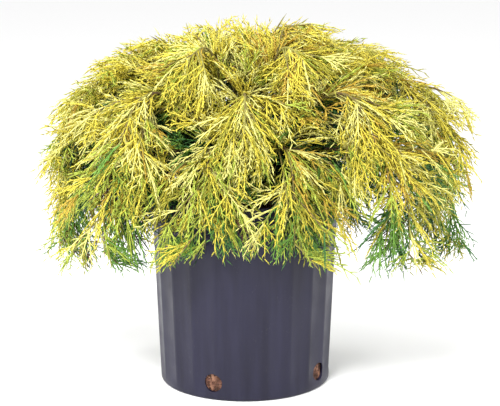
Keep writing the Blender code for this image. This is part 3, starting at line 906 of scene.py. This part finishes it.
def make_trunk_and_boughs(trunk, boughs):
    """The trunk and the boughs as one mesh with bark."""
    rings = bark_rings(trunk, TRUNK_RADIUS, TRUNK_TIP_RADIUS, TRUNK_SIDES, foot=True)
    meshes = [ring_mesh("trunk", rings)]
    for bough in boughs:
        rings = bark_rings(bough.line, bough.radius, bough.tip_radius, BOUGH_SIDES)
        meshes.append(ring_mesh(bough.name, rings))
    nodes = ["trunk"] + [f"bough_{bough.name}" for bough in boughs]
    mesh = joined(meshes, "trunk_and_boughs")
    place_piece("trunk_and_boughs", mesh, bark_material(), nodes)


# Foliage

def tree_along(lines):
    """A search tree of points along some lines."""
    tree = KDTree(len(lines) * (SPACE_SAMPLES + 1))
    for number, line in enumerate(lines):
        for i in range(SPACE_SAMPLES + 1):
            tree.insert(at_share(line, i / SPACE_SAMPLES)[0], number)
    tree.balance()
    return tree


class Spaces:
    """Which places a mass may fill: those about as near to its stem as to any, clear of the rest."""

    def __init__(self, stems, limbs):
        self.stems = [tree_along([stem]) for stem in stems]
        self.nearest = tree_along(stems)
        self.limbs = tree_along([points for points, _ in limbs])
        self.radii = [radius for _, radius in limbs]

    def hold(self, number, point):
        if crown_share(point) > CROWN_PLAY or point.z < hem_height(math.atan2(point.y, point.x)):
            return False
        if any(not low < part < high for low, part, high in zip(REACH_LOW, point, REACH_HIGH)):
            return False
        over_pot = math.hypot(point.x, point.y) < RIM_RADIUS + POT_MARGIN
        if over_pot and point.z < POT_HEIGHT + POT_MARGIN:
            return False
        if self.stems[number].find(point)[2] > self.nearest.find(point)[2] + SPACE_PLAY:
            return False
        _, limb, distance = self.limbs.find(point)
        return distance > self.radii[limb] + LIMB_MARGIN


def heading(way, angle, roll):
    """A direction that leaves way by an angle, rolled about it from its level side."""
    side = way.cross(NEAR_UP).normalized()
    up = side.cross(way)
    return way * math.cos(angle) + (side * math.cos(roll) + up * math.sin(roll)) * math.sin(angle)


def drooping(root, way, length, segments, droop):
    """Points from a root along a line that starts one way and is weighed down."""
    points = [root]
    step = length / segments
    for _ in range(segments):
        points.append(points[-1] + way * step)
        way = (way + Vector((0, 0, -1)) * droop * step).normalized()
    return points


def upper_roll(i):
    """The roll of shoot i: spread round its limb's upper side, less often under it."""
    return UPPER_ROLL + ROLL_SPREAD * (2 * (i * GOLDEN_ANGLE / math.tau % 1) - 1)


def pick(draw, weights):
    """A name drawn from names with their weights."""
    return draw.choices(list(weights), list(weights.values()))[0]


def sided(weights, factors, right):
    """Weights of tints, some of them times a factor for the plant's left or right."""
    return {tint: weight * factors.get(tint, (1, 1))[right] for tint, weight in weights.items()}


def tint_at(draw, point):
    """The tint of a spray: golden where the light falls, greener low down, and darker and
    greener inside, which is partly the real inner shoots and partly painted shade.
    """
    right = point.x > RIGHT_FROM
    out = crown_share(point) + draw.uniform(*SHARE_PLAY)
    # Inside the crown and in its shade: darker tints, partly painted shade
    if out < INSIDE_SHARE:
        return pick(draw, INSIDE_SHADE_TINTS)
    if out < SHADE_SHARE:
        return pick(draw, SHADE_TINTS)
    height = point.z + draw.uniform(*HEIGHT_PLAY)
    if height < HEM_TOP:
        # The hem: greener and darker on the right as painted shade
        return pick(draw, sided(HEM_TINTS, HEM_SHADE_FACTORS, right))
    if height < SIDE_TOP:
        return pick(draw, SIDE_TINTS)
    # The top: the most lemon, a painted highlight
    return pick(draw, sided(TOP_TINTS, TOP_FACTORS, right))


def pieces_of(tint):
    """The names of the pieces that a tint fills, from left to right."""
    if tint in PAIRED:
        return [f"foliage_{tint}_left", f"foliage_{tint}_right"]
    return [f"foliage_{tint}"]


class Mass:
    """The shoots of one mass: twigs off its limb and stem, and sprays of threads off them."""

    def __init__(self, number, plan, spaces, foliage, twigs):
        self.number, self.plan, self.spaces = number, plan, spaces
        self.foliage, self.twigs = foliage, twigs
        self.draw = random.Random(SEED * SEED_STEP + number)
        self.used = set()

    def line_in_space(self, parent, share, angle, length, segments, roll):
        """The first drooping line from the parent that stays in this mass's space, or None."""
        root, way = at_share(parent, share)
        for attempt in range(TRIES):
            way_out = heading(way, angle, roll + attempt * GOLDEN_ANGLE)
            tried = length * self.draw.uniform(*LENGTH_PLAY) * (1 - TRY_LOSS * attempt)
            line = drooping(root, way_out, tried, segments, self.plan.droop)
            places = (line[len(line) // 2], line[-1])
            if all(self.spaces.hold(self.number, place) for place in places):
                return line
        return None

    def add_thread(self, strands, line, normal, branchlets):
        """A thread with short branchlets to either side in turn, in the plane of its spray."""
        strands.add(line, THREAD_RADIUS, THREAD_TIP_RADIUS)
        length = (line[-1] - line[0]).length
        for i, place in enumerate(spaced(branchlets, *BRANCHLET_PLACES)):
            share = place + self.draw.uniform(*BRANCHLET_PLACE_PLAY)
            root, way = at_share(line, share)
            side = way.cross(normal).normalized() * (1 if i % 2 else -1)
            angle = BRANCHLET_ANGLE * self.draw.uniform(*BRANCHLET_ANGLE_PLAY)
            rise = normal * self.draw.uniform(*BRANCHLET_RISE_PLAY)
            out = way * math.cos(angle) + side * math.sin(angle) + rise
            reach = length * BRANCHLET_SHARE * blend(*BRANCHLET_SCALE, share)
            reach *= self.draw.uniform(*BRANCHLET_PLAY)
            middle = root + out * reach * BRANCHLET_BEND
            tip_way = (out * (1 - BRANCHLET_TURN) + way * BRANCHLET_TURN).normalized()
            tip = middle + tip_way * reach * (1 - BRANCHLET_BEND)
            strands.add([root, middle, tip], BRANCHLET_RADIUS, BRANCHLET_TIP_RADIUS)

    def add_spray(self, parent, share, angle, length, roll):
        """A fan of threads from one root. Deep inside the crown it is plainer."""
        first = self.line_in_space(parent, share, angle, length, THREAD_SEGMENTS, roll)
        if not first:
            return
        tint = tint_at(self.draw, first[len(first) // 2])
        piece = pieces_of(tint)[-1 if self.plan.stem[-1].x > 0 else 0]
        self.used.add(piece)
        # The deep tint is painted shade inside the crown; its sprays are plainer
        fan, branchlets = (DEEP_FAN, DEEP_BRANCHLETS) if tint == "deep" else (FAN, BRANCHLETS)
        way = (first[1] - first[0]).normalized()
        normal = heading(way, math.pi / 2, self.draw.uniform(*SPRAY_PLANE_PLAY))
        side = way.cross(normal).normalized()
        reach = (first[-1] - first[0]).length
        for lean, scale, start in fan:
            thread = first
            if lean:
                lean *= self.draw.uniform(*FAN_ANGLE_PLAY)
                way_out = way * math.cos(lean) + side * math.sin(lean)
                tried = reach * scale * self.draw.uniform(*FAN_LENGTH_PLAY)
                root, _ = at_share(first, start)
                thread = drooping(root, way_out, tried, THREAD_SEGMENTS, self.plan.droop)
            if thread is first or self.spaces.hold(self.number, thread[-1]):
                self.add_thread(self.foliage[piece], thread, normal, branchlets)

    def add_twig(self, parent, share, length, roll):
        """A twig with sprays along it and one at its end."""
        twig = self.line_in_space(parent, share, TWIG_ANGLE, length, TWIG_SEGMENTS, roll)
        if not twig:
            return
        self.twigs.add(twig, TWIG_RADIUS, TWIG_TIP_RADIUS)
        for i, place in enumerate(spaced(SPRAYS_ON_TWIG, *TWIG_SPRAY_PLACES)):
            reach = SPRAY_LENGTH * blend(*TWIG_SPRAY_SCALE, place)
            self.add_spray(twig, place, SPRAY_ANGLE, reach, upper_roll(i) + roll / 3)
        self.add_spray(twig, END_SPRAY_PLACE, END_SPRAY_ANGLE, SPRAY_LENGTH, roll)

    def grow(self):
        stem = self.plan.stem
        self.twigs.add(stem, STEM_RADIUS, STEM_TIP_RADIUS)
        if self.plan.limb:
            for i, place in enumerate(spaced(TWIGS_ON_BOUGH, *BOUGH_TWIG_PLACES)):
                self.add_twig(self.plan.limb, place, TWIG_LENGTH, upper_roll(i))
        for i, place in enumerate(spaced(TWIGS, *TWIG_PLACES)):
            self.add_twig(stem, place, TWIG_LENGTH * blend(*TWIG_SCALE, place), i * GOLDEN_ANGLE)
        for i, place in enumerate(spaced(SPRAYS_ON_STEM, *STEM_SPRAY_PLACES)):
            self.add_spray(stem, place, SPRAY_ANGLE, SPRAY_LENGTH, upper_roll(i))


def make_foliage(plans, spaces):
    """The twigs of all the masses as one piece, and their threads as a piece or two a tint."""
    foliage = {name: Strands(THREAD_SIDES) for tint in TINTS for name in pieces_of(tint)}
    nodes = {name: [] for name in foliage}
    twigs = Strands(TWIG_SIDES)
    for number, plan in enumerate(plans):
        mass = Mass(number, plan, spaces, foliage, twigs)
        mass.grow()
        for name in mass.used:
            nodes[name].append(plan.name)
    place_piece("twigs", twigs.mesh("twigs"), twig_material(), [plan.name for plan in plans])
    for tint, (colour, slot) in TINTS.items():
        material = foliage_material(tint, colour)
        for name in pieces_of(tint):
            place_piece(name, foliage[name].mesh(name), material, nodes[name])


def grow_plant():
    trunk = [trunk_axis(i / STEM_SEGMENTS) for i in range(STEM_SEGMENTS + 1)]
    boughs = [bough for name, tier in TIERS.items() for bough in tier_boughs(name, tier)]
    plans = plan_masses(trunk, boughs)
    make_trunk_and_boughs(trunk, boughs)
    limbs = [(trunk, TRUNK_RADIUS)] + [(bough.line, bough.radius) for bough in boughs]
    make_foliage(plans, Spaces([plan.stem for plan in plans], limbs))


# Studio

def make_floor():
    mesh = bpy.data.meshes.new("studio_floor")
    build = bmesh.new()
    bmesh.ops.create_grid(build, x_segments=1, y_segments=1, size=FLOOR_SIZE)
    build.to_mesh(mesh)
    build.free()
    mesh.materials.append(Shader("studio_floor", FLOOR_COLOUR, roughness=0.9).material)
    link_object("studio_floor", mesh)


def add_light(name, place, target, size, power):
    data = bpy.data.lights.new(name, "AREA")
    data.size = size
    data.energy = power
    light = link_object(name, data)
    light.location = place
    light.rotation_euler = (Vector(target) - Vector(place)).to_track_quat("-Z", "Y").to_euler()


def make_studio():
    make_floor()
    world = bpy.data.worlds.new("studio")
    world.use_nodes = True
    background = world.node_tree.nodes["Background"]
    background.inputs["Color"].default_value = (*WORLD_COLOUR, 1.0)
    background.inputs["Strength"].default_value = WORLD_STRENGTH
    bpy.context.scene.world = world
    for name, settings in LIGHTS.items():
        add_light(name, *settings)
    bpy.context.scene.view_settings.view_transform = "Standard"


def make_camera():
    data = bpy.data.cameras.new("camera")
    data.sensor_width = SENSOR
    data.lens = SENSOR * FOCAL_PIXELS / IMAGE_WIDTH
    data.clip_start, data.clip_end = CAMERA_NEAR, CAMERA_FAR
    camera = link_object("camera", data)
    camera.location = CAMERA_PLACE
    camera.rotation_euler = (math.pi / 2 - CAMERA_PITCH, 0.0, CAMERA_YAW)
    bpy.context.scene.camera = camera


for ob in list(bpy.data.objects):
    bpy.data.objects.remove(ob, do_unlink=True)
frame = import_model()

make_camera()
make_studio()
make_pot()
dress_mix(frame["nodes"]["potting_mix"])
make_chips()
grow_plant()
